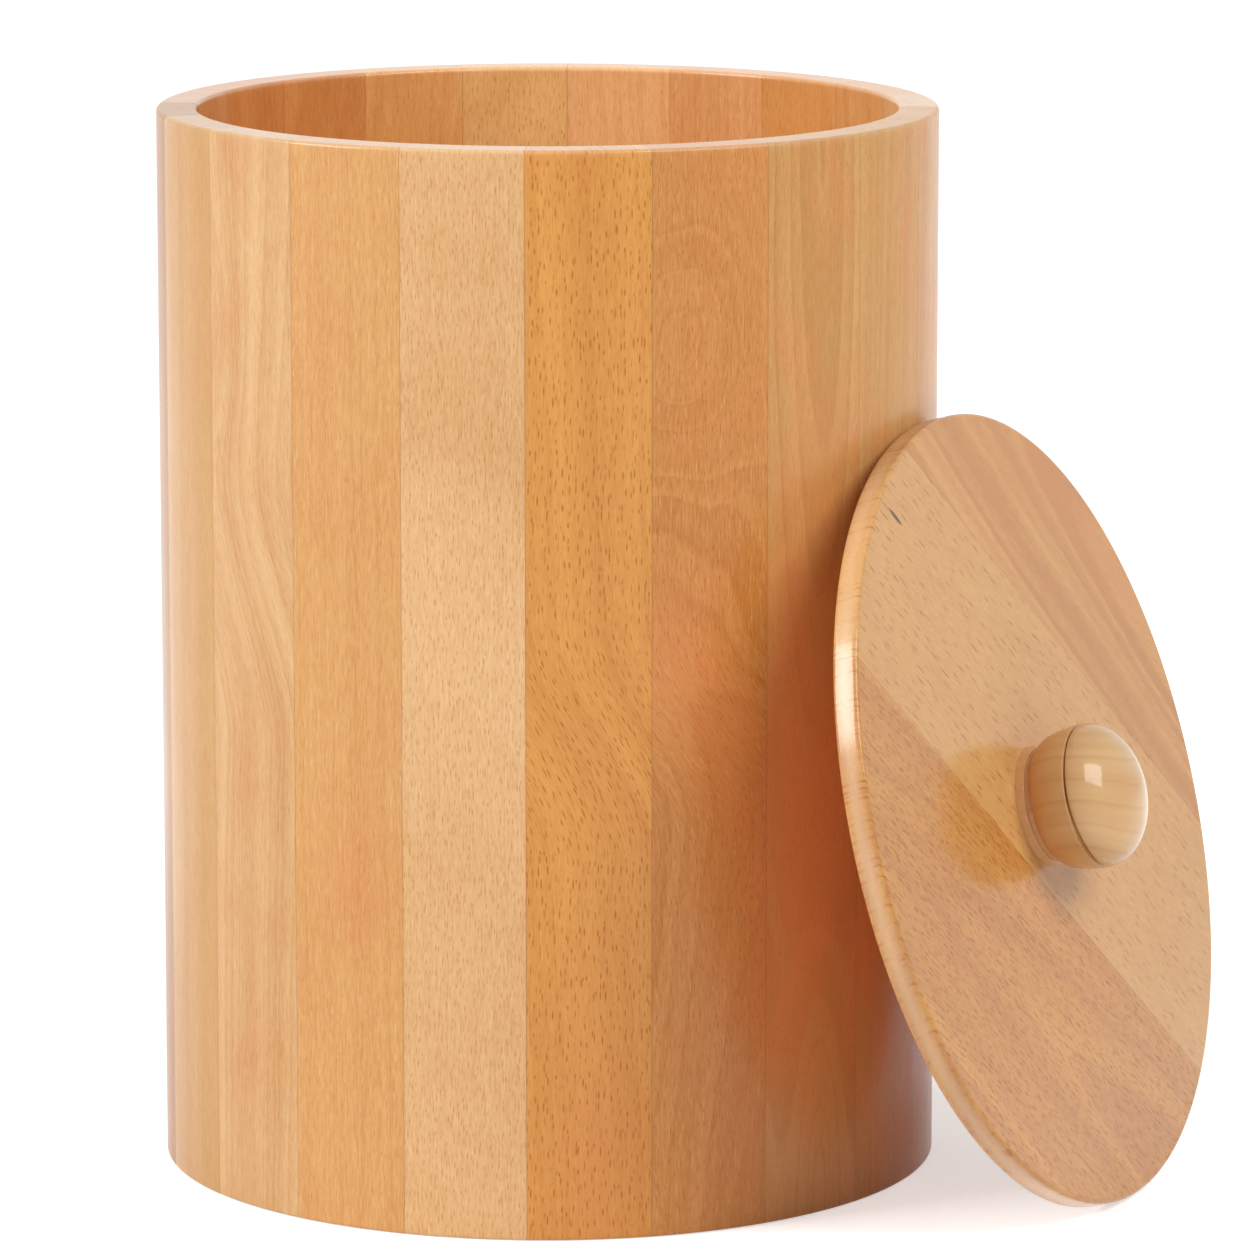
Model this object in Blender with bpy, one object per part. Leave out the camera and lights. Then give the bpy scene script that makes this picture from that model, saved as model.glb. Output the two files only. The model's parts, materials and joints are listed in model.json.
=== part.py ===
"""Staved wooden waste bin, with its turned lid standing on the floor and leaning against the wall.

Metres, +Z up. The origin is on the floor at the axis of the bin, and the lid leans on its +X, -Y side.
"""

import math

import bmesh
import bpy
from mathutils import Matrix, Vector

# Bin wall, turned from edge-glued staves
BIN_RADIUS = 0.110
BIN_HEIGHT = 0.300
WALL = 0.0115
STAVE_COUNT = 20
FIRST_JOINT = math.radians(-93.3)
WALL_ARRIS = 0.0010
FOOT_ARRIS = 0.0008

# Floor of the bin, edge-glued boards whose thinner edge sits in a rebate at the foot of the staves
BASE_THICKNESS = 0.0085
BASE_EDGE = 0.0050
BASE_BOARDS = 5
BASE_GRAIN = math.radians(12.0)
REBATE_DEPTH = 0.0040
BASE_ARRIS = 0.0003

# Lid, a turned disc of three boards with a step below that drops into the mouth of the bin
LID_RADIUS = 0.112
LID_THICKNESS = 0.0075
LID_ARRIS = 0.0011
STEP_DEPTH = 0.0040
STEP_CLEARANCE = 0.0025
STEP_ARRIS = 0.0005
LID_GRAIN = math.radians(-43.7)
LID_LEFT_JOINT = -0.0222
LID_RIGHT_JOINT = 0.0560

# How the lid leans: the way its face points, its tilt back from upright, and how far it stands to one side
LEAN_DIRECTION = math.radians(-25.5)
LEAN_TILT = math.radians(15.6)
LEAN_OFFSET = 0.0105
LEAN_CLEARANCE = 0.0003

# Knob, turned as one piece: foot, waist, rounded head with a groove along its widest line
KNOB_FOOT_RADIUS = 0.0170
KNOB_FOOT_HEIGHT = 0.0022
KNOB_WAIST_RADIUS = 0.0158
KNOB_WAIST_HEIGHT = 0.0036
KNOB_HEAD_RADIUS = 0.0203
KNOB_EQUATOR = 0.0162
KNOB_HEIGHT = 0.0292
KNOB_GROOVE_DEPTH = 0.0007
KNOB_GROOVE_WIDTH = 0.0009
KNOB_CROWN_FLAT = 0.0007

# Countersunk wood screw that holds the knob from below
SCREW_RADIUS = 0.0020
SCREW_HEAD_RADIUS = 0.0040
SCREW_LENGTH = 0.0240
SCREW_TIP_LENGTH = 0.0040
SCREW_TIP_RADIUS = 0.0003
SCREW_RECESS = 0.0003
DRIVE_WIDTH = 0.0011
DRIVE_SPAN = 0.0044
DRIVE_DEPTH = 0.0014
DRIVE_TAPER = 0.55

# Gaps between glued or seated pieces
GLUE_GAP = 0.0003
SEAT_GAP = 0.0003

# Facets
STAVE_STEPS = 6
DISC_STEPS = 96
KNOB_STEPS = 48
SCREW_STEPS = 24
ARRIS_STEPS = 2
CURVE_STEPS = 9
SHARP = math.radians(28.0)

# Wood tones, each a base colour; the staves go round in this order from the first joint
TONES = {
    "pale": (0.69, 0.42, 0.21),
    "golden": (0.64, 0.35, 0.14),
    "amber": (0.58, 0.28, 0.09),
    "tan": (0.58, 0.33, 0.16),
    "rosy": (0.62, 0.32, 0.17),
    "straw": (0.72, 0.50, 0.27),
}
STAVE_TONES = (
    "amber", "tan", "tan", "golden", "golden", "pale", "golden", "pale", "rosy", "golden",
    "pale", "amber", "tan", "golden", "pale", "pale", "pale", "golden", "amber", "pale",
)
BASE_TONES = ("golden", "pale", "rosy", "golden", "pale")
LID_TONES = {"left": "tan", "middle": "pale", "right": "rosy"}
STEEL = (0.62, 0.62, 0.64)
LACQUER_ROUGHNESS = 0.38
STEEL_ROUGHNESS = 0.30


def clear_scene():
    for obj in list(bpy.data.objects):
        bpy.data.objects.remove(obj, do_unlink=True)


def finish(name, colour, roughness, metallic=0.0):
    """Returns the material of this name, made on first use."""
    material = bpy.data.materials.get(name)
    if material is None:
        material = bpy.data.materials.new(name)
        material.use_nodes = True
        shader = material.node_tree.nodes["Principled BSDF"]
        shader.inputs["Base Color"].default_value = (*colour, 1.0)
        shader.inputs["Roughness"].default_value = roughness
        shader.inputs["Metallic"].default_value = metallic
    return material


def wood(tone):
    return finish("beech_" + tone, TONES[tone], LACQUER_ROUGHNESS)


def node(name, bm, material, parent=None):
    """Makes one named, smooth-shaded object from a bmesh."""
    bmesh.ops.recalc_face_normals(bm, faces=bm.faces)
    mesh = bpy.data.meshes.new(name)
    bm.to_mesh(mesh)
    bm.free()
    mesh.shade_smooth()
    mesh.set_sharp_from_angle(angle=SHARP)
    mesh.materials.append(material)
    obj = bpy.data.objects.new(name, mesh)
    bpy.context.scene.collection.objects.link(obj)
    obj.parent = parent
    return obj


def arc(centre, radius, start, end, steps=ARRIS_STEPS):
    """Points along an arc of a profile, from one angle to another in degrees."""
    angles = [math.radians(start + (end - start) * i / steps) for i in range(steps + 1)]
    return [(centre[0] + radius * math.cos(a), centre[1] + radius * math.sin(a)) for a in angles]


def turned(profile, steps, closed=False):
    """Turns a profile of (radius, height) points about Z.

    An open profile is capped flat at both ends. A closed one makes a ring round the axis. The first point
    of each ring lies along -Y.
    """
    bm = bmesh.new()
    rings = []
    for radius, height in profile:
        angles = [2 * math.pi * i / steps - math.pi / 2 for i in range(steps)]
        points = [(radius * math.cos(a), radius * math.sin(a), height) for a in angles]
        rings.append([bm.verts.new(point) for point in points])
    pairs = list(zip(rings, rings[1:]))
    if closed:
        pairs.append((rings[-1], rings[0]))
    for lower, upper in pairs:
        for i in range(steps):
            j = (i + 1) % steps
            bm.faces.new((lower[i], lower[j], upper[j], upper[i]))
    if not closed:
        bm.faces.new(rings[0])
        bm.faces.new(rings[-1])
    return bm


def cut_slab(bm, across, low, high):
    """Keeps what lies between two parallel planes, and closes the sawn faces."""
    for distance, normal in ((low, -across), (high, across)):
        if distance is None:
            continue
        everything = bm.verts[:] + bm.edges[:] + bm.faces[:]
        bmesh.ops.bisect_plane(
            bm, geom=everything, plane_co=across * distance, plane_no=normal, clear_outer=True
        )
        sawn = [edge for edge in bm.edges if edge.is_boundary]
        bmesh.ops.holes_fill(bm, edges=sawn, sides=0)
    return bm


def inner_radius():
    return BIN_RADIUS - WALL


def rebate_height():
    return BASE_EDGE + SEAT_GAP


def wall_section():
    """The stave's section as (radius, height), anticlockwise from the inner corner of its foot."""
    inner = inner_radius()
    rebate = inner + REBATE_DEPTH
    section = [(rebate, 0.0)]
    section += arc((BIN_RADIUS - FOOT_ARRIS, FOOT_ARRIS), FOOT_ARRIS, -90, 0)
    section += arc((BIN_RADIUS - WALL_ARRIS, BIN_HEIGHT - WALL_ARRIS), WALL_ARRIS, 0, 90)
    section += arc((inner + WALL_ARRIS, BIN_HEIGHT - WALL_ARRIS), WALL_ARRIS, 90, 180)
    section += [(inner, rebate_height()), (rebate, rebate_height())]
    return section


def stave(index):
    """One stave: the wall's section swept round its share of the circle, less half a glue gap a side."""
    pitch = 2 * math.pi / STAVE_COUNT
    gap = GLUE_GAP / inner_radius()
    start = FIRST_JOINT + index * pitch + gap / 2
    sweep = pitch - gap
    bm = bmesh.new()
    corners = [
        bm.verts.new((radius * math.cos(start), radius * math.sin(start), height))
        for radius, height in wall_section()
    ]
    face = bm.faces.new(corners)
    geometry = [face, *face.edges, *face.verts]
    bmesh.ops.spin(
        bm, geom=geometry, axis=(0, 0, 1), cent=(0, 0, 0), angle=sweep, steps=STAVE_STEPS
    )
    node(f"stave_{index + 1:02d}", bm, wood(STAVE_TONES[index % len(STAVE_TONES)]))


def base_board(index):
    """One board of the floor, sawn from the turned disc between two glue joints.

    The disc's thin edge reaches into the rebate, and its full thickness fills the mouth between the staves.
    """
    radius = inner_radius() + REBATE_DEPTH - SEAT_GAP
    shoulder = inner_radius() - SEAT_GAP
    width = 2 * radius / BASE_BOARDS
    profile = [(radius, 0.0), (radius, BASE_EDGE), (shoulder, BASE_EDGE)]
    profile += arc((shoulder - BASE_ARRIS, BASE_THICKNESS - BASE_ARRIS), BASE_ARRIS, 0, 90, 1)
    first, last = index == 0, index == BASE_BOARDS - 1
    low = None if first else -radius + index * width + GLUE_GAP / 2
    high = None if last else -radius + (index + 1) * width - GLUE_GAP / 2
    across = Vector((-math.sin(BASE_GRAIN), math.cos(BASE_GRAIN), 0.0))
    bm = cut_slab(turned(profile, DISC_STEPS), across, low, high)
    node(f"base_board_{index + 1}", bm, wood(BASE_TONES[index % len(BASE_TONES)]))


def hole_radius():
    return SCREW_RADIUS + SEAT_GAP


def sink_radius():
    """Radius of the countersink's mouth, for the screw's head to lie below the wood."""
    return SCREW_HEAD_RADIUS + SCREW_RECESS + SEAT_GAP


def lid_profile():
    """The lid's section as (radius, height), from the mouth of its screw hole round to the top face.

    Height 0 is the ledge that rests on the bin's rim, and the step lies below it.
    """
    step = inner_radius() - STEP_CLEARANCE
    below = -STEP_DEPTH
    sink_top = below + sink_radius() - hole_radius()
    profile = [(sink_radius(), below)]
    profile += arc((step - STEP_ARRIS, below + STEP_ARRIS), STEP_ARRIS, -90, 0, 1)
    profile += [(step, 0.0)]
    profile += arc((LID_RADIUS - LID_ARRIS, LID_ARRIS), LID_ARRIS, -90, 0)
    profile += arc((LID_RADIUS - LID_ARRIS, LID_THICKNESS - LID_ARRIS), LID_ARRIS, 0, 90)
    profile += [(hole_radius(), LID_THICKNESS), (hole_radius(), sink_top)]
    return profile


def lid_distance():
    """Distance from the bin's axis to the ledge plane, at the height of the lid's lowest line.

    It is the least that keeps every point of the lid's section clear of the wall.
    """
    wall = BIN_RADIUS + LEAN_CLEARANCE
    least = 0.0
    for radius, height in lid_profile():
        for step in range(DISC_STEPS):
            turn = 2 * math.pi * step / DISC_STEPS
            sideways = LEAN_OFFSET + radius * math.cos(turn)
            if abs(sideways) >= wall:
                continue
            reach = math.sqrt(wall**2 - sideways**2)
            reach += radius * math.sin(turn) * math.sin(LEAN_TILT) - height * math.cos(LEAN_TILT)
            least = max(least, reach)
    return least


def lid_centre_height():
    """Height of the ledge plane's centre that stands the lid's lowest edge on the floor."""
    return max(r * math.cos(LEAN_TILT) - h * math.sin(LEAN_TILT) for r, h in lid_profile())


def lid_frame():
    """Empty at the lid's centre, with Z along the knob and -Y down the slope of the leaning lid."""
    outward = Vector((math.cos(LEAN_DIRECTION), math.sin(LEAN_DIRECTION), 0.0))
    sideways = Vector((-math.sin(LEAN_DIRECTION), math.cos(LEAN_DIRECTION), 0.0))
    normal = outward * math.cos(LEAN_TILT) + Vector((0, 0, math.sin(LEAN_TILT)))
    upslope = normal.cross(sideways)
    place = outward * lid_distance() + sideways * LEAN_OFFSET + Vector((0, 0, lid_centre_height()))
    frame = bpy.data.objects.new("lid_frame", None)
    bpy.context.scene.collection.objects.link(frame)
    axes = Matrix((sideways, upslope, normal)).transposed().to_4x4()
    frame.matrix_world = Matrix.Translation(place) @ axes
    return frame


def lid_boards(frame):
    """The lid's three boards, sawn from one turned disc along its two glue joints."""
    across = Vector((-math.sin(LID_GRAIN), math.cos(LID_GRAIN), 0.0))
    half = GLUE_GAP / 2
    spans = {
        "left": (None, LID_LEFT_JOINT - half),
        "middle": (LID_LEFT_JOINT + half, LID_RIGHT_JOINT - half),
        "right": (LID_RIGHT_JOINT + half, None),
    }
    for side, (low, high) in spans.items():
        bm = cut_slab(turned(lid_profile(), DISC_STEPS, closed=True), across, low, high)
        node(f"lid_board_{side}", bm, wood(LID_TONES[side]), frame)


def knob_foot_height():
    """Height of the knob's underside over the ledge plane."""
    return LID_THICKNESS + SEAT_GAP


def pilot_depth():
    """Depth of the knob's screw hole, measured up from its foot."""
    tip = SCREW_RECESS - STEP_DEPTH + SCREW_LENGTH
    return tip - knob_foot_height() + 2 * SEAT_GAP


def knob_profile():
    """The knob's section, from the blind end of its screw hole, down it and round to the crown."""
    half_groove = KNOB_GROOVE_WIDTH / 2
    rise = KNOB_EQUATOR - KNOB_WAIST_HEIGHT
    flare = KNOB_HEAD_RADIUS - KNOB_WAIST_RADIUS
    crown = KNOB_HEIGHT - KNOB_EQUATOR
    foot_round = KNOB_FOOT_HEIGHT / 2
    profile = [(hole_radius(), pilot_depth()), (hole_radius(), 0.0)]
    profile += arc((KNOB_FOOT_RADIUS - foot_round, foot_round), foot_round, -90, 90, 2 * ARRIS_STEPS)
    under = CURVE_STEPS - 2
    for i in range(under):
        turn = math.radians(90 * i / under)
        radius = KNOB_WAIST_RADIUS + flare * math.sin(turn)
        profile.append((radius, KNOB_EQUATOR - rise * math.cos(turn)))
    profile += [
        (KNOB_HEAD_RADIUS, KNOB_EQUATOR - half_groove),
        (KNOB_HEAD_RADIUS - KNOB_GROOVE_DEPTH, KNOB_EQUATOR),
        (KNOB_HEAD_RADIUS, KNOB_EQUATOR + half_groove),
    ]
    last = math.acos(KNOB_CROWN_FLAT / KNOB_HEAD_RADIUS)
    for i in range(1, CURVE_STEPS + 1):
        turn = last * i / CURVE_STEPS
        profile.append((KNOB_HEAD_RADIUS * math.cos(turn), KNOB_EQUATOR + crown * math.sin(turn)))
    return profile


def knob(frame):
    bm = turned(knob_profile(), KNOB_STEPS)
    bmesh.ops.translate(bm, verts=bm.verts, vec=(0, 0, knob_foot_height()))
    node("knob", bm, wood("straw"), frame)


def screw_profile():
    """The screw's section from its head down: a 90 degree countersunk head, shank and point."""
    cone = SCREW_HEAD_RADIUS - SCREW_RADIUS
    return [
        (SCREW_HEAD_RADIUS, 0.0),
        (SCREW_RADIUS, cone),
        (SCREW_RADIUS, SCREW_LENGTH - SCREW_TIP_LENGTH),
        (SCREW_TIP_RADIUS, SCREW_LENGTH),
    ]


def drive_cutter(frame):
    """Cross-shaped cutter for the screw's drive recess, narrower at its bottom."""
    wide, half = DRIVE_SPAN / 2, DRIVE_WIDTH / 2
    outline = [
        (half, -wide), (half, -half), (wide, -half), (wide, half), (half, half), (half, wide),
        (-half, wide), (-half, half), (-wide, half), (-wide, -half), (-half, -half), (-half, -wide),
    ]
    bm = bmesh.new()
    mouth = [bm.verts.new((x, y, -DRIVE_DEPTH)) for x, y in outline]
    bottom = [bm.verts.new((x * DRIVE_TAPER, y * DRIVE_TAPER, DRIVE_DEPTH)) for x, y in outline]
    bm.faces.new(mouth)
    bm.faces.new(bottom)
    for i in range(len(outline)):
        j = (i + 1) % len(outline)
        bm.faces.new((mouth[i], mouth[j], bottom[j], bottom[i]))
    cutter = node("drive_cutter", bm, finish("screw_steel", STEEL, STEEL_ROUGHNESS, 1.0), frame)
    cutter.hide_render = True
    cutter.display_type = "WIRE"
    return cutter


def knob_screw(frame):
    """The screw, its head just below the step's face and its point inside the knob."""
    head = SCREW_RECESS - STEP_DEPTH
    screw = node(
        "knob_screw",
        turned(screw_profile(), SCREW_STEPS),
        finish("screw_steel", STEEL, STEEL_ROUGHNESS, 1.0),
        frame,
    )
    cutter = drive_cutter(frame)
    for obj in (screw, cutter):
        obj.location = (0.0, 0.0, head)
    recess = screw.modifiers.new("drive_recess", "BOOLEAN")
    recess.operation = "DIFFERENCE"
    recess.object = cutter


def main():
    clear_scene()
    for index in range(STAVE_COUNT):
        stave(index)
    for index in range(BASE_BOARDS):
        base_board(index)
    frame = lid_frame()
    lid_boards(frame)
    knob(frame)
    knob_screw(frame)


main()
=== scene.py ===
"""Looks of the staved wooden waste bin and its leaning lid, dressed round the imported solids.

Metres, +Z up, in the frame of the solids. The wood's figure is worked out in board coordinates, which are
millimetres: X across the board, Y into it from its face, Z along its grain.
"""

import json
import math

import bmesh
import bpy
import numpy as np
from mathutils import Matrix, Vector


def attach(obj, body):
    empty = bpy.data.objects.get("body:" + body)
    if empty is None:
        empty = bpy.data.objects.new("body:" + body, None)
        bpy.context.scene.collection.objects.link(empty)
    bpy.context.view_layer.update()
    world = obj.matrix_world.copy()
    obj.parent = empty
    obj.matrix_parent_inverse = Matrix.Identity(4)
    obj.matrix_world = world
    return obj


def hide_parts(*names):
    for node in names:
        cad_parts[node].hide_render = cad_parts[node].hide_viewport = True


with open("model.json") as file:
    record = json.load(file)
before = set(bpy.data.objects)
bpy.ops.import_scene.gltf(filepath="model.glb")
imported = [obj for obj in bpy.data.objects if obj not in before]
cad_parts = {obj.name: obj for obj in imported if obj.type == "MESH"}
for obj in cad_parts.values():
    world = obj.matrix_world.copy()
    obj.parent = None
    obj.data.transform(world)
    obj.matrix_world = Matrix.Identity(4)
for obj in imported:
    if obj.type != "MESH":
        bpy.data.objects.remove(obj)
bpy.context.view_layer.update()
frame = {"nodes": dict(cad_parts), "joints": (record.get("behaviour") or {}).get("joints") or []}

MM = 0.001

# Vertices of a solid this close in radius or height belong to one ring
SAME = MM * 0.1

# Camera, at the photograph's viewing angle
CAMERA_PLACE = (0.0, -2.10070, 0.53669)
CAMERA_TILT = math.radians(79.5654)
CAMERA_TURN = math.radians(-0.6302)
CAMERA_LENS = 214.39
CAMERA_REACH = 50.0

# Light: softboxes by direction and rise in degrees, roll, distance, width, height and power, in a white room
SOFTBOXES = {
    "right_softbox": (-38.0, 40.0, -30.0, 2.4, 1.55, 1.05, 36.8),
    "left_softbox": (-162.0, 31.0, 0.0, 3.2, 1.4, 1.4, 75.0),
}
ROOM_LIGHT = 0.31

# Floor: its grey, and a glow that shows but lights nothing, from near the bin's axis to far from it
FLOOR_SIZE = 12.0
FLOOR_DROP = 0.0002
FLOOR_GREY = 0.86
FLOOR_GLOW_NEAR = 0.55
FLOOR_GLOW_FAR = 0.76
FLOOR_NEAR = 0.14
FLOOR_FAR = 0.55

# Eased edges of the turned wood. Hold is how far past an arc the shading stays even
WALL_ARRIS = 0.0011
FOOT_ARRIS = 0.0008
REBATE_ARRIS = 0.0002
LID_ARRIS = 0.0012
STEP_ARRIS = 0.0005
BASE_ARRIS = 0.0003
ARRIS_STEPS = 5
HOLD = 0.0003

# Width of a glue joint, and how far the finer rounds stay inside the solids' facets
VISIBLE_JOINT = 0.00003
ROUND_INSET = 0.00006

# Grain directions, in the plane of the lid and of the floor
LID_GRAIN = math.radians(-43.7)
BASE_GRAIN = math.radians(12.0)

# The lid's rim is what lies beyond this share of its radius
LID_RIM = 0.95

# Knob, turned as one piece, with heights from its foot, which the seat carries down to the lid. Its arcs are
# first and last degree, and steps
KNOB_FOOT_HEIGHT = 0.0022
KNOB_FOOT_ROUND = 0.0006
KNOB_FOOT_TAPER = 0.0003
KNOB_FOOT_ARC = (15.0, 90.0, 8)
KNOB_SEAT = 0.00025
KNOB_WAIST_RADIUS = 0.0158
KNOB_WAIST_HEIGHT = 0.0036
KNOB_WAIST_ARC = (0.0, 90.0, 20)
KNOB_EQUATOR = 0.0162
KNOB_CROWN_ARC = (3.0, 89.0, 28)

# The knob's groove, with the width of its lip and its bed as shares of half its own, and the lip's drop as a
# share of its width
KNOB_GROOVE_DEPTH = 0.0006
KNOB_GROOVE_WIDTH = 0.0008
GROOVE_LIP = 0.35
GROOVE_BED = 0.3
GROOVE_LIP_DROP = 0.3

# Screw: its thread, the point as so many head radii, and the cross recess
THREAD_DEPTH = 0.0006
THREAD_PITCH = 0.0014
THREAD_START = 0.0070
THREAD_ROWS = 10
THREAD_SHARPNESS = 3
POINT_LENGTH = 2.5
TIP_RADIUS = MM * 0.15
RECESS_WIDTH = 0.0011
RECESS_SPAN = 0.0044
RECESS_DEPTH = 0.0014
RECESS_TAPER = 0.55

# Facets of the rounds, and the angle from which an edge stays sharp
STAVE_STEPS = 24
DISC_STEPS = 192
KNOB_STEPS = 128
SCREW_STEPS = 32
SHARP = math.radians(32.0)

# A board's light and dark wood, as shares of its own mean colour, and how dark it is on average
LIGHT_WOOD = (1.10, 1.18, 1.30)
DARK_WOOD = (0.82, 0.70, 0.55)
MEAN_TONE = 0.40

# Tones that many boards share
PALE_TONE = (0.88, 0.66, 0.45, 1.0)
GLUE_TONE = (0.36, 0.16, 0.06, 1.0)
# Painted shade: a redder, darker wood tone where the lid's shadow falls on the wall, which reddens that
# shadow
LID_SHADOW_TONE = (0.80, 0.26, 0.09, 1.0)

# Noise in the wood, by how fast it changes with each millimetre across, into and along the board, and how
# far a board's seed shifts it along Y and Z for one along X
FIBRE_RATE = (2.1, 2.1, 0.22)
STREAK_RATE = (0.36, 0.36, 0.016)
CLOUD_RATE = (0.08, 0.08, 0.03)
BEND_RATE = (0.045, 0.045, 0.009)
SWAY_RATE = (0.03, 0.03, 0.012)
SEED_SHIFTS = (2.3, 4.1)

# Growth rings: how fast their spacing and their broad bands change with each millimetre from the tree's
# centre, how strong the bands are, and how sharply late wood ends
UNEVEN_RATE = 0.21
BAND_RATE = 0.13
BAND_SWING = 2.0
LATE_WOOD_END = 7.0

# Flecks: how irregular their places are, how far they lean for each millimetre into the wood, their least
# length and strength with what chance adds to each, where a spindle starts and stops to fade, and how far
# the seed shifts them along the grain
FLECK_JITTER = 0.92
FLECK_LEAN = 0.12
FLECK_LENGTHS = (0.55, 0.7)
FLECK_STRENGTHS = (0.3, 0.7)
FLECK_FADE = (0.35, 1.1)
FLECK_SHIFT = 3.7

# Coarse flecks follow each board's own settings. Fine ones and pale wisps are alike on every board, each with
# a shift of the seed. Pale wood on a lid board's edges, and the painted sheen along the rim, hide the flecks
COARSE_STRENGTH = 0.88
FINE_FLECKS = {"spacing": (0.9, 2.7, 1.0), "size": (0.17, 1.0, 1.0), "density": 0.7}
FINE_SEED = 9.0
PALE_WISPS = {"spacing": (3.4, 4.0, 1.0), "size": (0.20, 2.4, 1.0), "density": 0.5}
WISP_SEED = 4.0
FLECK_HIDING = 2.6

# How much of the blush, redder wood and painted shade alike, follows the clouds
BLUSH_AND_SHADE_CLOUD = 0.9

# Distances in millimetres between which a glue line fades, its strength, and the fade of a dark mark's edge,
# which on the knob is painted shade along its groove
GLUE_FADE = (0.05, 0.30)
GLUE_STRENGTH = 0.30
MARK_AND_SHADE_FADE = (0.25, 0.7)

# Surface of the wood: its roughness, which flecks and clouds change, its relief, and the lacquer over it
WOOD_ROUGHNESS = 0.27
FLECK_ROUGHNESS = 0.15
CLOUD_ROUGHNESS = 0.08
FIBRE_RELIEF = 0.8
FLECK_RELIEF = 0.6
MEAN_RELIEF = 0.5
SHADER = {"IOR": 1.46, "Specular IOR Level": 0.12, "Coat IOR": 1.5}
RELIEF = {"Strength": 0.35, "Distance": 0.00004}

# Figure of one board, unless it says otherwise. A place is a point in the board, and a size is how far its
# patch reaches along each axis. Pith is where the tree's centre lies in the board's section, and lean is how
# far it shifts for each millimetre along the grain. Ring is the spacing of the growth rings and uneven is how
# irregular it is. Wobble bends the rings and wander sways the grain, each by so many millimetres. Slant is
# how far the figure steps aside, where along the grain it does, and half the length that takes. Blush is a
# redder patch: redder wood on some boards, and painted shade where the lid's shadow falls on the staves and
# under the knob's head. Swirl bends the rings round a knot and crackle is pale wisps. Core is the paler
# middle of a lid board's thickness, and on the staves a painted sheen along the rim. Mark is one dark spot,
# and on the knob painted shade along its groove. A patch 400 mm below the board doesn't show.
PLAIN_BOARD = {
    "seed": 1.0,
    "pith": (4.0, 70.0, 0.0),
    "lean": (0.0, 0.06, 0.0),
    "ring": 3.2,
    "ring_contrast": 0.22,
    "ring_sharpness": 1.5,
    "uneven": 1.6,
    "band_contrast": 0.35,
    "wobble": 5.0,
    "wander": 3.0,
    "fleck_density": 0.6,
    "fleck_strength": 0.4,
    "fleck_spacing": (1.4, 3.6, 1.0),
    "fleck_size": (0.24, 1.3, 1.0),
    "fleck_wood": (0.60, 0.36, 0.05),
    "fine": 0.24,
    "fibre": 1.0,
    "streak": 0.3,
    "cloud": 0.28,
    "slant": (0.0, 0.0, 1.0),
    "blush_and_shade": 0.15,
    "blush_and_shade_tone": (0.66, 0.215, 0.070, 1.0),
    "blush_and_shade_place": (0.0, 0.0, -400.0),
    "blush_and_shade_size": (8.0, 1000.0, 22.0),
    "swirl": 0.0,
    "swirl_place": (0.0, 0.0, 0.0),
    "swirl_size": (10.0, 1000.0, 24.0),
    "crackle": 0.0,
    "pale_core_and_sheen": 0.0,
    "pale_core_and_sheen_place": (0.0, 3.8, 0.0),
    "pale_core_and_sheen_size": (2000.0, 3.2, 2000.0),
    "mark_and_shade_place": (0.0, 0.0, -400.0),
    "mark_and_shade_size": (0.6, 2.0, 2.4),
    "mark_and_shade_tone": (0.14, 0.058, 0.018, 1.0),
    "coat": 0.38,
    "coat_roughness": 0.13,
    "edge_coat": 0.0,
}

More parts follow.
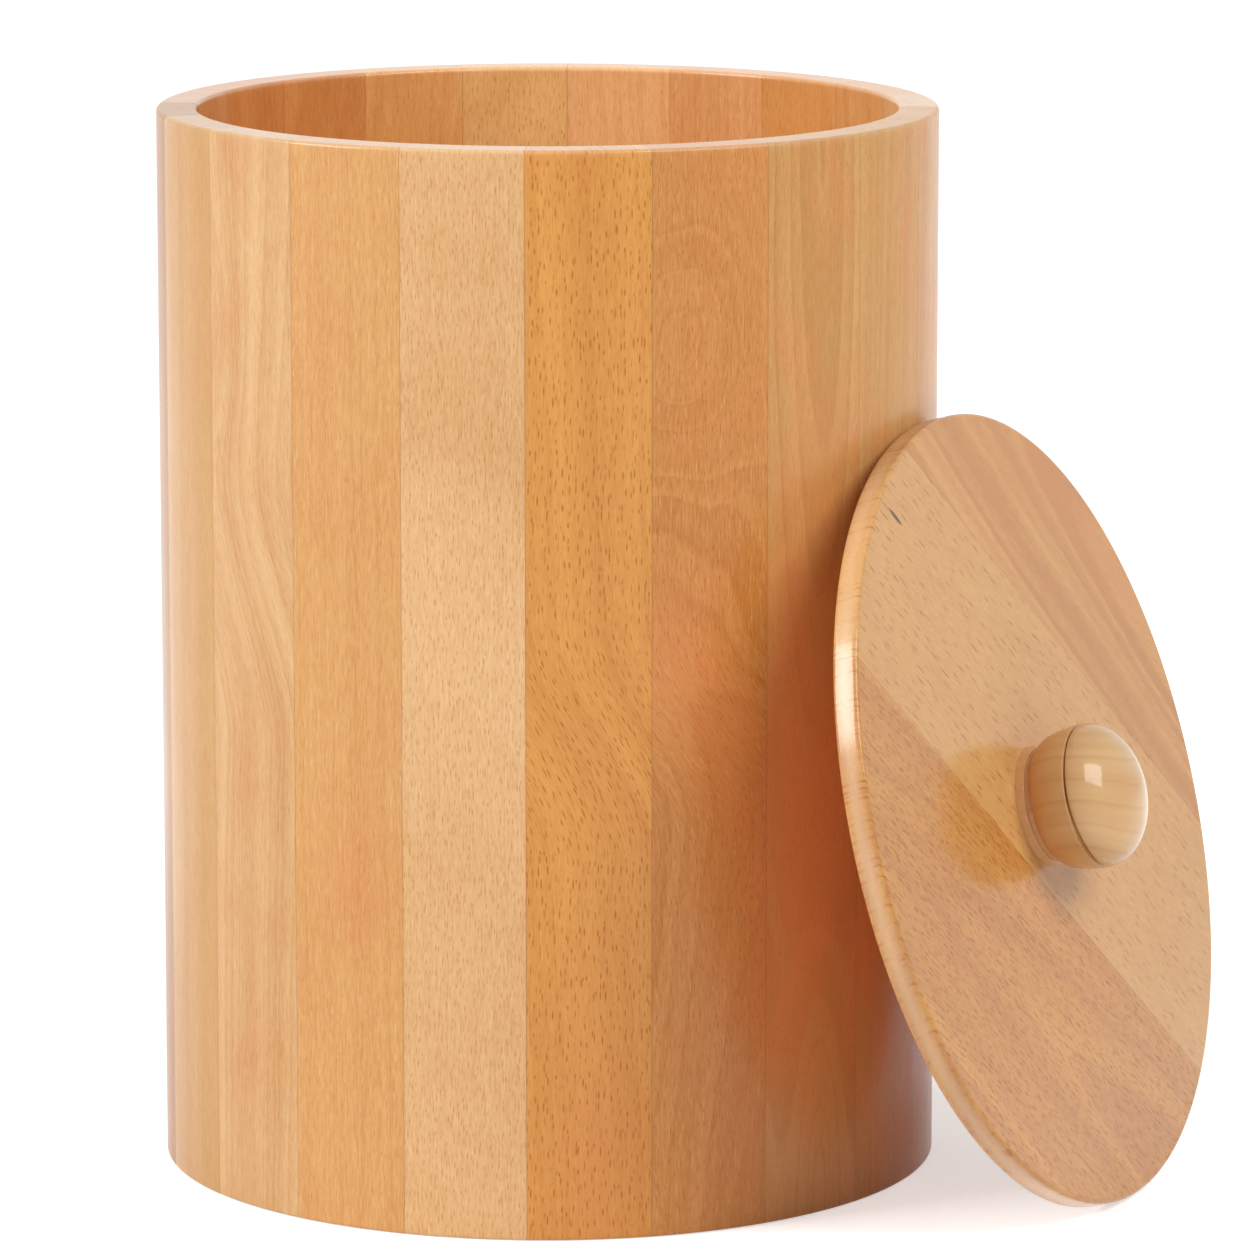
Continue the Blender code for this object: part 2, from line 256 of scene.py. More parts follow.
STAVES = {
    "stave_01": {
        "slot": "amber", "colour": (0.683, 0.299, 0.062), "seed": 1.3,
        "pith": (-46.0, 52.0, 0.0), "lean": (0.02, 0.06, 0.0), "slant": (24.0, 138.0, 34.0),
        "ring": 8.5, "ring_contrast": 0.28, "band_contrast": 0.22,
        "fleck_density": 0.95, "fleck_strength": 0.95, "fleck_spacing": (1.8, 3.9, 1.0),
        "fleck_size": (0.32, 1.6, 1.0),
        "blush_and_shade": 0.3, "blush_and_shade_place": (2.0, 0.0, 22.0), "blush_and_shade_size": (14.0, 1000.0, 40.0),
    },
    # Low on staves 02 to 05 the blush is painted shade, redder wood where the lid's shadow falls on them
    "stave_02": {
        "slot": "tan", "colour": (0.609, 0.260, 0.067), "seed": 2.6, "coat_roughness": 0.32,
        "pith": (22.0, 34.0, 0.0), "lean": (-0.02, 0.10, 0.0), "slant": (26.0, 140.0, 30.0),
        "ring": 6.0, "ring_contrast": 0.40, "ring_sharpness": 1.2,
        "swirl": 22.0, "swirl_place": (16.0, 0.0, 246.0), "swirl_size": (18.0, 1000.0, 30.0),
        "fleck_density": 0.8, "fleck_strength": 0.6, "crackle": 0.2, "fibre": 1.5,
        "blush_and_shade": 0.60, "blush_and_shade_tone": LID_SHADOW_TONE, "blush_and_shade_place": (20.0, 0.0, 95.0),
        "blush_and_shade_size": (20.0, 1000.0, 70.0),
    },
    "stave_03": {
        "slot": "tan", "colour": (0.568, 0.288, 0.090), "seed": 3.9, "coat_roughness": 0.32,
        "pith": (2.0, 30.0, 0.0), "lean": (0.0, -0.10, 0.0), "ring": 6.0, "ring_contrast": 0.45,
        "swirl": 18.0, "swirl_place": (2.0, 0.0, 14.0), "swirl_size": (8.0, 1000.0, 52.0),
        "fleck_density": 0.5, "fleck_strength": 0.3,
        "blush_and_shade": 0.85, "blush_and_shade_tone": LID_SHADOW_TONE, "blush_and_shade_place": (0.0, 0.0, 105.0),
        "blush_and_shade_size": (40.0, 1000.0, 85.0),
    },
    "stave_04": {
        "slot": "golden", "colour": (0.586, 0.315, 0.113), "seed": 4.1, "coat_roughness": 0.32,
        "pith": (120.0, 20.0, 0.0), "fleck_strength": 0.3, "coat": 0.08,
        "blush_and_shade": 0.85, "blush_and_shade_tone": LID_SHADOW_TONE, "blush_and_shade_place": (0.0, 0.0, 90.0),
        "blush_and_shade_size": (40.0, 1000.0, 90.0),
    },
    "stave_05": {
        "slot": "golden", "colour": (0.600, 0.310, 0.115), "seed": 5.2, "coat_roughness": 0.32,
        "pith": (150.0, 40.0, 0.0), "fleck_density": 0.2, "coat": 0.11,
        "blush_and_shade": 1.0, "blush_and_shade_tone": (0.86, 0.22, 0.08, 1.0), "blush_and_shade_place": (0.0, 0.0, 80.0),
        "blush_and_shade_size": (40.0, 1000.0, 80.0),
    },
    "stave_06": {"slot": "pale", "colour": (0.740, 0.430, 0.200), "seed": 6.3, "pith": (-10.0, 60.0, 0.0)},
    "stave_07": {"slot": "golden", "colour": (0.733, 0.342, 0.114), "seed": 7.4, "pith": (60.0, 60.0, 0.0)},
    "stave_08": {"slot": "pale", "colour": (0.774, 0.349, 0.107), "seed": 8.5, "pith": (5.0, 50.0, 0.0)},
    "stave_09": {
        "slot": "rosy", "colour": (0.809, 0.378, 0.142), "seed": 9.6, "pith": (90.0, 15.0, 0.0),
        "fleck_density": 0.3, "crackle": 0.5, "blush_and_shade": 0.5,
    },
    "stave_10": {
        "slot": "golden", "colour": (0.905, 0.475, 0.194), "seed": 10.7, "pith": (40.0, 40.0, 0.0),
        "fleck_strength": 0.4,
    },
    "stave_11": {
        "slot": "pale", "colour": (0.905, 0.500, 0.186), "seed": 11.8, "pith": (0.0, 90.0, 0.0),
        "fleck_density": 0.8, "fleck_strength": 0.7,
    },
    "stave_12": {
        "slot": "amber", "colour": (0.852, 0.404, 0.132), "seed": 12.9, "pith": (-50.0, 60.0, 0.0),
        "fleck_density": 0.7,
    },
    "stave_13": {
        "slot": "tan", "colour": (0.715, 0.289, 0.086), "seed": 13.1, "pith": (-20.0, 80.0, 0.0),
        "fleck_density": 0.7,
    },
    "stave_14": {"slot": "golden", "colour": (0.652, 0.243, 0.069), "seed": 14.2, "pith": (70.0, 60.0, 0.0)},
    "stave_15": {
        "slot": "pale", "colour": (0.661, 0.292, 0.113), "seed": 15.3, "pith": (10.0, 45.0, 0.0),
        "lean": (0.02, 0.12, 0.0),
    },
    # This stave's wood is darkened to offset the strong light and glare on this edge of the wall: painted
    # shade
    "stave_16": {
        "slot": "pale", "colour": (0.401, 0.168, 0.038), "seed": 16.4, "pith": (200.0, 30.0, 0.0),
        "fleck_density": 0.15, "coat": 0.2,
    },
    "stave_17": {
        "slot": "pale", "colour": (0.576, 0.303, 0.097), "seed": 17.5, "pith": (240.0, 10.0, 0.0),
        "ring": 7.0, "ring_contrast": 0.15, "band_contrast": 0.25,
        "fleck_density": 0.12, "fleck_strength": 0.3, "coat": 0.3,
    },
    "stave_18": {
        "slot": "golden", "colour": (0.667, 0.385, 0.163), "seed": 18.6,
        "pith": (70.0, 30.0, 0.0), "lean": (0.0, 0.05, 0.0), "slant": (26.0, 170.0, 42.0),
        "ring": 5.4, "ring_contrast": 0.36, "uneven": 2.4, "cloud": 0.45,
        "swirl": 20.0, "swirl_place": (5.0, 0.0, 246.0), "swirl_size": (12.0, 1000.0, 24.0),
        "fleck_density": 0.5, "fleck_size": (0.22, 2.4, 1.0),
        "blush_and_shade": 0.8, "blush_and_shade_place": (5.0, 0.0, 240.0), "blush_and_shade_size": (6.0, 1000.0, 12.0),
    },
    "stave_19": {
        "slot": "golden", "colour": (0.678, 0.342, 0.112), "seed": 19.7,
        "pith": (-140.0, 15.0, 0.0), "ring": 2.6, "ring_contrast": 0.15, "band_contrast": 0.12,
        "fleck_density": 0.6, "fleck_strength": 0.35, "fibre": 1.3, "streak": 0.25, "crackle": 0.25,
        "blush_and_shade": 0.34, "blush_and_shade_place": (2.0, 0.0, 100.0), "blush_and_shade_size": (9.0, 1000.0, 24.0),
    },
    "stave_20": {
        "slot": "pale", "colour": (0.727, 0.423, 0.187), "seed": 20.8,
        "pith": (-4.0, 85.0, 0.0), "lean": (0.0, 0.08, 0.0), "ring": 5.0, "ring_contrast": 0.15,
        "fleck_density": 0.85, "fleck_strength": 0.6, "fleck_spacing": (1.2, 3.2, 1.0),
        "fleck_size": (0.24, 1.4, 1.0), "fibre": 1.2, "cloud": 0.05, "blush_and_shade": 0.04,
    },
}

# Paler wood along the top of the staves round the rim: a painted sheen, standing in for the rim's pale
# grazing reflection
RIM_PAINTED_SHEEN = {"pale_core_and_sheen": 0.42, "pale_core_and_sheen_place": (0.0, 0.0, 301.2), "pale_core_and_sheen_size": (2000.0, 2000.0, 1.8)}

LID_BOARDS = {
    "lid_board_left": {
        "slot": "tan", "colour": (0.548, 0.219, 0.025), "seed": 31.1,
        "pith": (-60.0, 45.0, 0.0), "ring": 6.0, "ring_contrast": 0.45, "band_contrast": 0.6,
        "fleck_density": 0.95, "fleck_strength": 1.0, "fleck_spacing": (1.7, 4.2, 1.0),
        "fleck_size": (0.42, 2.1, 1.0), "fleck_wood": (0.54, 0.32, 0.07), "fibre": 1.7, "streak": 0.6,
        "pale_core_and_sheen": 0.38, "coat": 0.40, "edge_coat": 0.30,
    },
    "lid_board_middle": {
        "slot": "pale", "colour": (0.617, 0.309, 0.086), "seed": 32.2,
        "pith": (14.0, 110.0, 0.0), "ring_contrast": 0.12,
        "fleck_density": 0.75, "fleck_strength": 1.0, "fleck_spacing": (3.0, 7.0, 1.0),
        "fleck_size": (0.44, 2.9, 1.0), "fleck_wood": (0.55, 0.36, 0.13), "fibre": 1.5, "streak": 0.5,
        "mark_and_shade_place": (32.0, 0.0, 98.0), "mark_and_shade_size": (0.8, 2.5, 4.4),
        "pale_core_and_sheen": 0.34, "coat": 0.40, "edge_coat": 0.30,
    },
    "lid_board_right": {
        "slot": "rosy", "colour": (0.602, 0.277, 0.068), "seed": 33.3,
        "pith": (104.0, 22.0, 0.0), "lean": (0.05, 0.12, 0.0), "wobble": 8.0,
        "ring": 19.0, "ring_contrast": 0.7, "ring_sharpness": 0.9, "band_contrast": 0.9, "uneven": 0.8,
        "fleck_density": 0.5, "fibre": 1.3, "streak": 0.3,
        "blush_and_shade": 0.5, "blush_and_shade_tone": (0.58, 0.21, 0.045, 1.0), "blush_and_shade_place": (106.0, 0.0, 0.0),
        "blush_and_shade_size": (16.0, 1000.0, 90.0),
        "pale_core_and_sheen": 0.3, "coat": 0.40, "edge_coat": 0.30,
    },
}

GOLDEN_BASE = {"slot": "golden", "colour": (0.720, 0.390, 0.155)}
PALE_BASE = {"slot": "pale", "colour": (0.740, 0.430, 0.200)}
ROSY_BASE = {"slot": "rosy", "colour": (0.640, 0.300, 0.125), "fleck_density": 0.7}
BASE_BOARDS = {
    "base_board_1": {**GOLDEN_BASE, "seed": 41.0, "pith": (0.0, 60.0, 0.0)},
    "base_board_2": {**PALE_BASE, "seed": 42.0, "pith": (50.0, 40.0, 0.0)},
    "base_board_3": {**ROSY_BASE, "seed": 43.0, "pith": (-10.0, 80.0, 0.0)},
    "base_board_4": {**GOLDEN_BASE, "seed": 44.0, "pith": (120.0, 20.0, 0.0)},
    "base_board_5": {**PALE_BASE, "seed": 45.0, "pith": (80.0, 60.0, 0.0)},
}

# The knob's wood, whose mark is painted shade: a thin dark band right through it, which shows along its
# groove
KNOB_WOOD = {
    "slot": "straw", "colour": (0.640, 0.385, 0.168), "seed": 51.0,
    "pith": (-8.0, 44.0, 0.0), "lean": (0.0, 0.2, 0.0), "wobble": 3.0,
    "ring": 6.4, "ring_contrast": 1.0, "ring_sharpness": 12.0, "uneven": 0.4, "band_contrast": 0.5,
    "fleck_strength": 0.0, "fine": 0.0, "fibre": 0.1, "streak": 0.0,
    # The blush is painted shade: redder, darker wood on the foot, waist and under the head, which the head
    # shades
    "blush_and_shade": 0.5, "blush_and_shade_tone": (0.62, 0.24, 0.05, 1.0), "blush_and_shade_place": (-14.0, 0.0, 0.0),
    "blush_and_shade_size": (9.0, 1000.0, 1000.0),
    "mark_and_shade_place": (0.0, 0.0, 0.0), "mark_and_shade_size": (0.34, 1000.0, 1000.0), "mark_and_shade_tone": (0.30, 0.13, 0.045, 1.0),
    "coat": 0.6, "coat_roughness": 0.08,
}

# Bright zinc plate with fine turning marks
STEEL_DARK = (0.56, 0.56, 0.59, 1.0)
STEEL_LIGHT = (0.72, 0.72, 0.73, 1.0)
STEEL_GRAIN = {"scale": (2600.0, 2600.0, 2600.0), "seed": 3.0, "detail": 3.0}
STEEL_ROUGHNESS = 0.28
STEEL_UNEVENNESS = 0.25


class Wiring:
    """Adds shader nodes to a tree. Sockets, numbers and vectors all serve as inputs."""

    def __init__(self, tree):
        self.tree = tree

    def add(self, kind, inputs, output=0, **settings):
        """One node: its settings, then its inputs by name or place; returns one of its outputs."""
        node = self.tree.nodes.new(kind)
        for name, value in settings.items():
            setattr(node, name, value)
        for key, value in inputs.items():
            if isinstance(value, bpy.types.NodeSocket):
                self.tree.links.new(value, node.inputs[key])
            else:
                node.inputs[key].default_value = value
        return node.outputs[output]

    def math(self, operation, *values, clamp=False):
        """A number worked out from others, kept from 0 to 1 if clamped."""
        inputs = dict(enumerate(values))
        return self.add("ShaderNodeMath", inputs, operation=operation, use_clamp=clamp)

    def vector(self, operation, *values, output=0):
        """A vector worked out from others, or a number from them at output 1."""
        inputs = dict(enumerate(values))
        return self.add("ShaderNodeVectorMath", inputs, output, operation=operation)

    def split(self, vector):
        """The three parts of a vector."""
        return tuple(self.add("ShaderNodeSeparateXYZ", {0: vector}).node.outputs)

    def join(self, x, y, z):
        """A vector from its three parts."""
        return self.add("ShaderNodeCombineXYZ", {0: x, 1: y, 2: z})

    def ramp(self, value, low, high):
        """0 below low, 1 above high and smooth between."""
        inputs = {"Value": value, "From Min": low, "From Max": high}
        return self.add("ShaderNodeMapRange", inputs, interpolation_type="SMOOTHSTEP")

    def noise(self, place, scale, seed, detail):
        """Noise about 0, from -0.5 to 0.5, of a place stretched by a scale along each axis."""
        stretched = self.vector("MULTIPLY", place, scale)
        offset = self.join(seed, *(self.math("MULTIPLY", seed, shift) for shift in SEED_SHIFTS))
        inputs = {"Vector": self.vector("ADD", stretched, offset), "Scale": 1.0, "Detail": detail}
        return self.math("SUBTRACT", self.add("ShaderNodeTexNoise", inputs), 0.5)

    def noise_along(self, distance, rate, seed, detail):
        """Noise from 0 to 1 along one distance."""
        inputs = {"W": self.math("MULTIPLY_ADD", distance, rate, seed), "Scale": 1.0, "Detail": detail}
        return self.add("ShaderNodeTexNoise", inputs, noise_dimensions="1D")

    def mix(self, factor, first, second):
        """The first colour at factor 0 and the second at 1: inputs 6 and 7 of the node, output 2."""
        return self.add("ShaderNodeMix", {0: factor, 6: first, 7: second}, 2, data_type="RGBA")


def bump_at(wires, place, centre, size):
    """1 at the centre, falling off as a bell curve over the size along each axis."""
    away = wires.vector("DIVIDE", wires.vector("SUBTRACT", place, centre), size)
    square = wires.vector("DOT_PRODUCT", away, away, output=1)
    return wires.math("EXPONENT", wires.math("MULTIPLY", square, -1.0))


def ring_distance(wires, given, place):
    """Distance from the tree's centre, bent by the wander of the grain and by a swirl round a knot."""
    x, y, z = wires.split(place)
    drift = wires.add("ShaderNodeVectorMath", {0: given["lean"], "Scale": z}, operation="SCALE")
    centre = wires.vector("ADD", given["pith"], drift)
    section = wires.vector("SUBTRACT", wires.join(x, y, 0.0), centre)
    flat = wires.vector("MULTIPLY", section, (1.0, 1.0, 0.0))
    distance = wires.vector("LENGTH", flat, output=1)
    bend = wires.noise(place, BEND_RATE, given["seed"], detail=2.0)
    distance = wires.math("MULTIPLY_ADD", bend, given["wobble"], distance)
    swirl = bump_at(wires, place, given["swirl_place"], given["swirl_size"])
    return wires.math("MULTIPLY_ADD", swirl, given["swirl"], distance)


def ring_figure(wires, given, distance):
    """Late wood of each ring, dark towards the ring's outer side, with broad tone bands over it."""
    uneven = wires.noise_along(distance, UNEVEN_RATE, given["seed"], detail=1.0)
    rings = wires.math("DIVIDE", distance, given["ring"])
    turn = wires.math("FRACT", wires.math("MULTIPLY_ADD", uneven, given["uneven"], rings))
    late = wires.math("POWER", turn, given["ring_sharpness"])
    end = wires.math("MULTIPLY", wires.math("SUBTRACT", 1.0, turn), LATE_WOOD_END, clamp=True)
    late = wires.math("MULTIPLY", wires.math("MULTIPLY", late, end), given["ring_contrast"])
    band = wires.noise_along(distance, BAND_RATE, given["seed"], detail=2.0)
    band = wires.math("MULTIPLY", wires.math("SUBTRACT", band, 0.5), given["band_contrast"])
    return wires.math("MULTIPLY_ADD", band, BAND_SWING, late)


def flecks(wires, place, seed, spacing, size, density):
    """Short spindles along the grain: 1 inside one, 0 between them. Spacing and size are across and along."""
    x, y, z = wires.split(place)
    across = wires.math("MULTIPLY_ADD", y, FLECK_LEAN, x)
    start = wires.join(seed, wires.math("MULTIPLY", seed, FLECK_SHIFT), 0.0)
    spot = wires.vector("ADD", wires.join(across, z, 0.0), start)
    cell = wires.vector("DIVIDE", spot, spacing)
    inputs = {"Vector": cell, "Scale": 1.0, "Randomness": FLECK_JITTER}
    cells = wires.add("ShaderNodeTexVoronoi", inputs, voronoi_dimensions="2D").node.outputs
    chance, length, strength = wires.split(cells["Color"])
    away = wires.vector("MULTIPLY", wires.vector("SUBTRACT", cell, cells["Position"]), spacing)
    away = wires.vector("ABSOLUTE", wires.vector("DIVIDE", away, size))
    aside, along, _ = wires.split(away)
    shortest, longer = FLECK_LENGTHS
    along = wires.math("DIVIDE", along, wires.math("MULTIPLY_ADD", length, longer, shortest))
    reach = wires.math("ADD", aside, wires.math("MULTIPLY", along, along))
    inside = wires.math("SUBTRACT", 1.0, wires.ramp(reach, *FLECK_FADE))
    kept = wires.math("LESS_THAN", chance, density)
    weakest, stronger = FLECK_STRENGTHS
    strength = wires.math("MULTIPLY_ADD", strength, stronger, weakest)
    return wires.math("MULTIPLY", wires.math("MULTIPLY", inside, kept), strength)


def glue_line(wires, given):
    """1 on the board's glued edges, fading out into the board."""
    distances = []
    for side in ("left", "right"):
        inward = wires.vector("DOT_PRODUCT", given["place"], given[side + "_joint"], output=1)
        distances.append(wires.math("ADD", inward, given[side + "_reach"]))
    return wires.math("SUBTRACT", 1.0, wires.ramp(wires.math("MINIMUM", *distances), *GLUE_FADE))


def group_inputs():
    """Name and kind of the figure's inputs: its own, and each setting of a board that it uses."""
    kinds = {
        "place": "Vector", "light": "Color", "dark": "Color", "fleck": "Color",
        "left_joint": "Vector", "left_reach": "Float", "right_joint": "Vector", "right_reach": "Float",
    }
    for name, value in PLAIN_BOARD.items():
        if name in ("fleck_wood", "coat_roughness"):
            continue
        if isinstance(value, float):
            kinds[name] = "Float"
        else:
            kinds[name] = "Vector" if len(value) == 3 else "Color"
    return kinds


def beech_figure():
    """Node group for the figure of one board: its colour, roughness, fine relief and lacquer."""
    tree = bpy.data.node_groups.new("beech_figure", "ShaderNodeTree")
    for name, kind in group_inputs().items():
        tree.interface.new_socket(name, in_out="INPUT", socket_type="NodeSocket" + kind)
    wires = Wiring(tree)
    given = tree.nodes.new("NodeGroupInput").outputs
    seed = given["seed"]

    x, y, z = wires.split(given["place"])
    amount, middle, half = wires.split(given["slant"])
    slant = wires.ramp(z, wires.math("SUBTRACT", middle, half), wires.math("ADD", middle, half))
    sway = wires.noise(given["place"], SWAY_RATE, seed, detail=1.0)
    shift = wires.math("MULTIPLY_ADD", sway, given["wander"], wires.math("MULTIPLY", slant, amount))
    place = wires.join(wires.math("ADD", x, shift), y, z)

    tone = ring_figure(wires, given, ring_distance(wires, given, place))
    fibre = wires.noise(place, FIBRE_RATE, seed, detail=2.0)
    streak = wires.noise(place, STREAK_RATE, seed, detail=4.0)
    cloud = wires.noise(place, CLOUD_RATE, seed, detail=1.0)
    for grain, name in ((fibre, "fibre"), (streak, "streak"), (cloud, "cloud")):
        tone = wires.math("MULTIPLY_ADD", grain, given[name], tone)
    tone = wires.math("ADD", tone, MEAN_TONE, clamp=True)
    colour = wires.mix(tone, given["light"], given["dark"])

    # Blush: redder wood, and on some boards painted shade where a shadow falls
    patch = bump_at(wires, place, given["blush_and_shade_place"], given["blush_and_shade_size"])
    spread = wires.math("MULTIPLY_ADD", cloud, BLUSH_AND_SHADE_CLOUD, patch, clamp=True)
    colour = wires.mix(wires.math("MULTIPLY", spread, given["blush_and_shade"]), colour, given["blush_and_shade_tone"])

    # Paler band: a lid board's pale middle, and on the staves a painted sheen along the rim
    pale_core_and_sheen = bump_at(wires, given["place"], given["pale_core_and_sheen_place"], given["pale_core_and_sheen_size"])
    paleness_and_sheen = wires.math("MULTIPLY", pale_core_and_sheen, given["pale_core_and_sheen"])
    colour = wires.mix(paleness_and_sheen, colour, PALE_TONE)

    spacing, size = given["fleck_spacing"], given["fleck_size"]
    coarse = flecks(wires, place, seed, spacing, size, given["fleck_density"])
    coarse = wires.math("MULTIPLY", coarse, given["fleck_strength"])
    fine = flecks(wires, place, wires.math("ADD", seed, FINE_SEED), **FINE_FLECKS)
    face = wires.math("SUBTRACT", 1.0, wires.math("MULTIPLY", paleness_and_sheen, FLECK_HIDING), clamp=True)
    for spindles, strength in ((fine, given["fine"]), (coarse, COARSE_STRENGTH)):
        share = wires.math("MULTIPLY", wires.math("MULTIPLY", spindles, strength), face)
        colour = wires.mix(share, colour, given["fleck"])

    wisps = flecks(wires, place, wires.math("ADD", seed, WISP_SEED), **PALE_WISPS)
    colour = wires.mix(wires.math("MULTIPLY", wisps, given["crackle"]), colour, PALE_TONE)
    # Mark: one dark spot, and on the knob painted shade along its groove
    mark_and_groove_shade = wires.ramp(bump_at(wires, place, given["mark_and_shade_place"], given["mark_and_shade_size"]), *MARK_AND_SHADE_FADE)
    colour = wires.mix(mark_and_groove_shade, colour, given["mark_and_shade_tone"])
    glue = wires.math("MULTIPLY", glue_line(wires, given), GLUE_STRENGTH)
    colour = wires.mix(glue, colour, GLUE_TONE)

    rough = wires.math("MULTIPLY_ADD", coarse, FLECK_ROUGHNESS, WOOD_ROUGHNESS)
    rough = wires.math("MULTIPLY_ADD", cloud, CLOUD_ROUGHNESS, rough)
    relief = wires.math("MULTIPLY_ADD", fibre, FIBRE_RELIEF, MEAN_RELIEF)
    relief = wires.math("SUBTRACT", relief, wires.math("MULTIPLY", coarse, FLECK_RELIEF))
    coat = wires.math("MULTIPLY_ADD", pale_core_and_sheen, given["edge_coat"], given["coat"])

    results = {"colour": colour, "roughness": rough, "height": relief, "coat": coat}
    for name in results:
        kind = "Color" if name == "colour" else "Float"
        tree.interface.new_socket(name, in_out="OUTPUT", socket_type="NodeSocket" + kind)
    outputs = tree.nodes.new("NodeGroupOutput").inputs
    for name, socket in results.items():
        tree.links.new(socket, outputs[name])
    return tree


FIGURE = beech_figure()


def new_material(name):
    """A material with its nodes switched on, and the wiring for them."""
    material = bpy.data.materials.new(name)
    material.use_nodes = True
    return material, Wiring(material.node_tree)


def board_material(name, board, axes, left=None, right=None):
    """Lacquered wood of one board. Axes is its frame, left and right its glued edges in that frame."""
    settings = {**PLAIN_BOARD, **board}
    del settings["slot"]
    colour = settings.pop("colour")
    tones = {"light": LIGHT_WOOD, "dark": DARK_WOOD, "fleck": settings.pop("fleck_wood")}
    fixed = {**SHADER, "Coat Roughness": settings.pop("coat_roughness")}
    material, wires = new_material(name)
    tree = wires.tree
    where = tree.nodes.new("ShaderNodeTexCoord").outputs["Object"]
    inputs = {
        "Vector": where, "Location": axes.to_translation(), "Rotation": axes.to_euler(),
        "Scale": (MM, MM, MM),
    }
    place = wires.add("ShaderNodeMapping", inputs, vector_type="TEXTURE")

    figure = tree.nodes.new("ShaderNodeGroup")
    figure.node_tree = FIGURE
    tree.links.new(place, figure.inputs["place"])
    for key, shares in tones.items():
        figure.inputs[key].default_value = (*(value * share for value, share in zip(colour, shares)), 1.0)
    for key, value in settings.items():
        figure.inputs[key].default_value = value
    for side, edge in (("left", left), ("right", right)):
        normal, reach = edge or ((0.0, 0.0, 0.0), 1.0)
        figure.inputs[side + "_joint"].default_value = normal
        figure.inputs[side + "_reach"].default_value = reach

    shader = tree.nodes["Principled BSDF"]
    tree.links.new(figure.outputs["colour"], shader.inputs["Base Color"])
    tree.links.new(figure.outputs["roughness"], shader.inputs["Roughness"])
    bump = wires.add("ShaderNodeBump", {"Height": figure.outputs["height"], **RELIEF})
    tree.links.new(bump, shader.inputs["Normal"])
    if settings["edge_coat"]:
        tree.links.new(figure.outputs["coat"], shader.inputs["Coat Weight"])
    else:
        fixed["Coat Weight"] = settings["coat"]
    for key, value in fixed.items():
        shader.inputs[key].default_value = value
    return material


def steel_material():
    """Bright zinc-plated steel with fine turning marks."""
    material, wires = new_material("screw_steel_bright")
    tree = wires.tree
    where = tree.nodes.new("ShaderNodeTexCoord").outputs["Object"]
    grain = wires.noise(where, **STEEL_GRAIN)
    shader = tree.nodes["Principled BSDF"]
    shader.inputs["Metallic"].default_value = 1.0
    colour = wires.mix(wires.math("ADD", grain, 0.5), STEEL_DARK, STEEL_LIGHT)
    tree.links.new(colour, shader.inputs["Base Color"])
    rough = wires.math("MULTIPLY_ADD", grain, STEEL_UNEVENNESS, STEEL_ROUGHNESS)
    tree.links.new(rough, shader.inputs["Roughness"])
    return material


def placed(name, data):
    """A new object in the scene."""
    obj = bpy.data.objects.new(name, data)
    bpy.context.scene.collection.objects.link(obj)
    return obj


def piece(name, bm, material, body, node):
    """Turns a bmesh into a finished piece that stands for a solid."""
    bmesh.ops.recalc_face_normals(bm, faces=bm.faces)
    mesh = bpy.data.meshes.new(name)
    bm.to_mesh(mesh)
    bm.free()
    mesh.shade_smooth()
    mesh.set_sharp_from_angle(angle=SHARP)
    mesh.materials.append(material)
    obj = placed(name, mesh)
    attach(obj, body)
    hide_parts(node)


def eased(corners):
    """Outline through (x, y, radius) corners, each rounded to its radius.

    A point just past both ends of every arc holds the shading even on the flats.
    """
    outline = []
    for i, (x, y, radius) in enumerate(corners):
        corner = Vector((x, y))
        if not radius:
            outline.append(corner)
            continue
        before = (Vector(corners[i - 1][:2]) - corner).normalized()
        after = (Vector(corners[(i + 1) % len(corners)][:2]) - corner).normalized()
        half = before.angle(after) / 2
        tangent = radius / math.tan(half)
        centre = corner + (before + after).normalized() * radius / math.sin(half)
        start = corner + before * tangent - centre
        sweep = (corner + after * tangent - centre).angle_signed(start)
        outline.append(corner + before * (tangent + HOLD))
        for step in range(ARRIS_STEPS + 1):
            outline.append(centre + Matrix.Rotation(sweep * step / ARRIS_STEPS, 2) @ start)
        outline.append(corner + after * (tangent + HOLD))
    return [tuple(point) for point in outline]


def angles(first, last, steps):
    """Angles from the first to the last degree in equal steps, with both ends."""
    return [math.radians(first + (last - first) * step / steps) for step in range(steps + 1)]


def ring_of(bm, spots):
    """A ring of vertices round Z, one for each (radius, height)."""
    turns = [2 * math.pi * i / len(spots) for i in range(len(spots))]
    return [
        bm.verts.new((radius * math.cos(turn), radius * math.sin(turn), height))
        for (radius, height), turn in zip(spots, turns)
    ]


def bridge(bm, lower, upper):
    """Joins two rings of as many vertices with a band of faces."""
    for i in range(len(lower)):
        j = (i + 1) % len(lower)
        bm.faces.new((lower[i], lower[j], upper[j], upper[i]))


def turned(profile, steps, closed=False):
    """Turns a profile of (radius, height) points about Z: capped flat at both ends, or closed as a ring."""
    bm = bmesh.new()
    rings = [ring_of(bm, [spot] * steps) for spot in profile]
    for lower, upper in zip(rings, rings[1:]):
        bridge(bm, lower, upper)
    if closed:
        bridge(bm, rings[-1], rings[0])
    else:
        bm.faces.new(rings[0])
        bm.faces.new(rings[-1])
    return bm


def cut_slab(bm, across, low, high):
    """Keeps what lies between two parallel planes, and closes the sawn faces."""
    for distance, normal in ((low, -across), (high, across)):
        if distance is None:
            continue
        everything = bm.verts[:] + bm.edges[:] + bm.faces[:]
        bmesh.ops.bisect_plane(
            bm, geom=everything, plane_co=across * distance, plane_no=normal, clear_outer=True
        )
        sawn = [edge for edge in bm.edges if edge.is_boundary]
        bmesh.ops.holes_fill(bm, edges=sawn, sides=0)
    return bm


